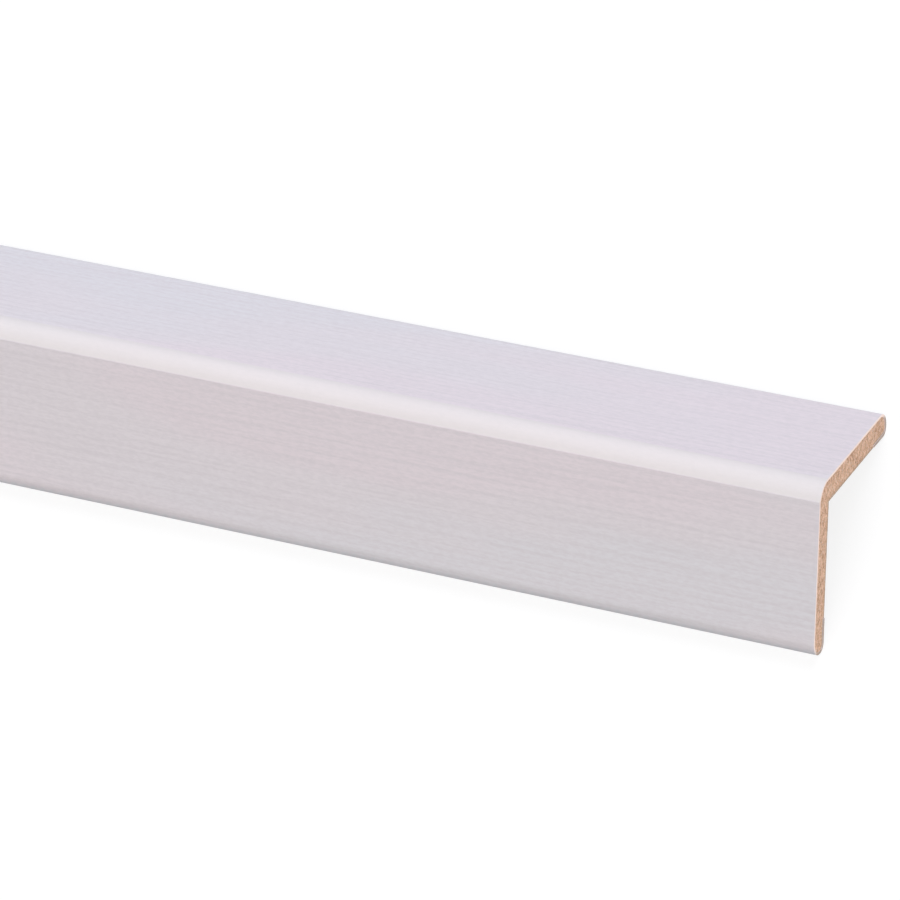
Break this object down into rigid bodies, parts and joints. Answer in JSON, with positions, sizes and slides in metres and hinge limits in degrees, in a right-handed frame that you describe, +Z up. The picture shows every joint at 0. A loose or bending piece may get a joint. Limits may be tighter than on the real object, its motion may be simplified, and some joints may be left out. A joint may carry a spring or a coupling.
{
  "type": "corner guard moulding",
  "caption": "Long equal-leg angle moulding of fibreboard wrapped in white woodgrain foil, for covering an outside wall corner.",
  "frame": {"origin": "middle of the stock's footprint, on the floor that its two leg tips rest on", "axes": "+X along the stock's length, +Y across it, +Z up, away from the floor, through the outer corner"},
  "size_m": [2.6, 0.0358, 0.0202],
  "materials": {
    "fibreboard": "bare sawn fibreboard",
    "white_foil": "satin foil with a fine embossed woodgrain"
  },
  "bodies": {
    "root": {"fibreboard_core": "fibreboard", "foil_wrap": "white_foil"}
  },
  "joints": []
}
